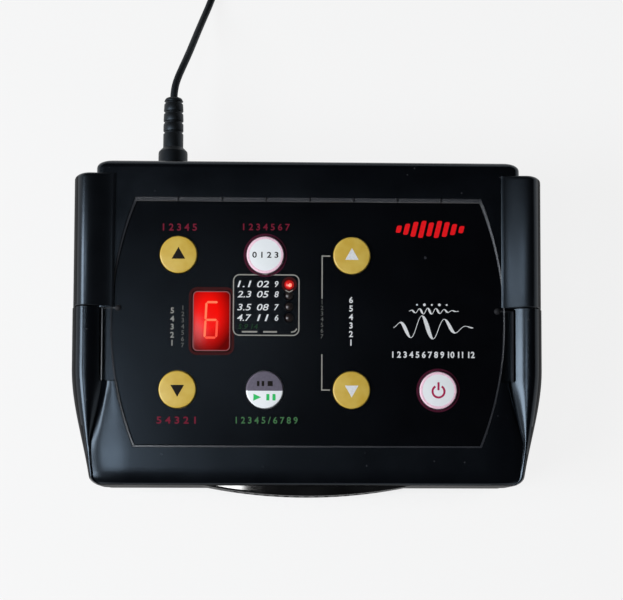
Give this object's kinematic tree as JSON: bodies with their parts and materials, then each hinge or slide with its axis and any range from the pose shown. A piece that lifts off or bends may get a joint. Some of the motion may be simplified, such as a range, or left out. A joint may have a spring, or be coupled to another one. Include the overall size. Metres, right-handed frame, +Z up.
{
  "type": "electronic drone box",
  "caption": "Wedge-shaped desktop drone-tone box with domed press keys, a digit window, side rails, a bow-fronted speaker cover, a battery door and a plug-in supply lead.",
  "frame": {"origin": "on the table under the middle of the box, with its feet at z 0", "axes": "+X to the right of the player, +Y to the back where the supply plug goes in, +Z up"},
  "size_m": [0.1712, 0.2696, 0.0515],
  "materials": {
    "shell": "fine satin texture, black",
    "rail": "smooth half-gloss black",
    "gloss": "polished black",
    "plate": "printed sheet, black with small marks",
    "gold": "satin gold-coloured",
    "white": "satin white",
    "window": "clear red",
    "lamp": "clear red",
    "board": "green solder mask",
    "chip": "moulded black",
    "steel": "zinc plated",
    "magnet": "dark ferrite",
    "paper": "dull dark cone paper",
    "foam": "soft dark foam",
    "battery": "painted sleeve, bare of print",
    "rubber": "dull black",
    "cord": "smooth black sheath",
    "brass": "nickel-bright",
    "lead": "red insulation"
  },
  "bodies": {
    "case": {"top_shell": "shell", "bottom_shell": "shell", "right_rear_rail": "rail", "left_rear_rail": "rail", "speaker_cover": "gloss", "keypad_plate": "plate", "pitch_up_switch": "chip", "mode_switch": "chip", "volume_up_switch": "chip", "pitch_down_switch": "chip", "start_stop_switch": "chip", "volume_down_switch": "chip", "power_switch": "chip", "display_lens": "window", "display_module": "chip", "mode_lamp_1": "lamp", "mode_lamp_2": "lamp", "mode_lamp_3": "lamp", "mode_lamp_4": "lamp", "main_board": "board", "sound_chip": "chip", "board_screw_1": "steel", "board_screw_2": "steel", "board_screw_3": "steel", "board_screw_4": "steel", "speaker_gasket": "foam", "speaker_frame": "steel", "speaker_cone": "paper", "speaker_magnet": "magnet", "speaker_lead": "lead", "battery_cell": "battery", "battery_snap": "rubber", "battery_lead": "lead", "case_screw_1": "steel", "case_screw_2": "steel", "case_screw_3": "steel", "case_screw_4": "steel", "foot_1": "rubber", "foot_2": "rubber", "foot_3": "rubber", "foot_4": "rubber", "dc_socket": "chip"},
    "pitch_up_button": {"pitch_up_key": "gold"},
    "mode_button": {"mode_key": "white"},
    "volume_up_button": {"volume_up_key": "gold"},
    "pitch_down_button": {"pitch_down_key": "gold"},
    "start_stop_button": {"start_stop_key": "white"},
    "volume_down_button": {"volume_down_key": "gold"},
    "power_button": {"power_key": "white"},
    "door": {"battery_door": "shell"},
    "plug": {"plug_barrel": "brass", "plug_body": "rubber", "supply_cord": "cord", "cord_coil": "cord", "coil_tie": "rubber", "adapter_body": "shell", "adapter_pin_front": "brass", "adapter_pin_back": "brass"}
  },
  "joints": [
    {"name": "pitch_up_press", "type": "slide", "parent": "case", "child": "pitch_up_button", "axis": [0, 0.0767, -0.9971], "range_m": [0, 0.0005], "stiffness_N_per_m": 1500, "springref_m": -0.0005},
    {"name": "mode_press", "type": "slide", "parent": "case", "child": "mode_button", "axis": [0, 0.0767, -0.9971], "range_m": [0, 0.0005], "stiffness_N_per_m": 1500, "springref_m": -0.0005},
    {"name": "volume_up_press", "type": "slide", "parent": "case", "child": "volume_up_button", "axis": [0, 0.0767, -0.9971], "range_m": [0, 0.0005], "stiffness_N_per_m": 1500, "springref_m": -0.0005},
    {"name": "pitch_down_press", "type": "slide", "parent": "case", "child": "pitch_down_button", "axis": [0, 0.0767, -0.9971], "range_m": [0, 0.0005], "stiffness_N_per_m": 1500, "springref_m": -0.0005},
    {"name": "start_stop_press", "type": "slide", "parent": "case", "child": "start_stop_button", "axis": [0, 0.0767, -0.9971], "range_m": [0, 0.0005], "stiffness_N_per_m": 1500, "springref_m": -0.0005},
    {"name": "volume_down_press", "type": "slide", "parent": "case", "child": "volume_down_button", "axis": [0, 0.0767, -0.9971], "range_m": [0, 0.0005], "stiffness_N_per_m": 1500, "springref_m": -0.0005},
    {"name": "power_press", "type": "slide", "parent": "case", "child": "power_button", "axis": [0, 0.0767, -0.9971], "range_m": [0, 0.0005], "stiffness_N_per_m": 1500, "springref_m": -0.0005},
    {"name": "door_slide", "type": "slide", "parent": "case", "child": "door", "axis": [0, 1, 0], "range_m": [0, 0.034]},
    {"name": "plug_pull", "type": "slide", "parent": "case", "child": "plug", "axis": [0, 1, 0], "range_m": [0, 0.012]}
  ]
}
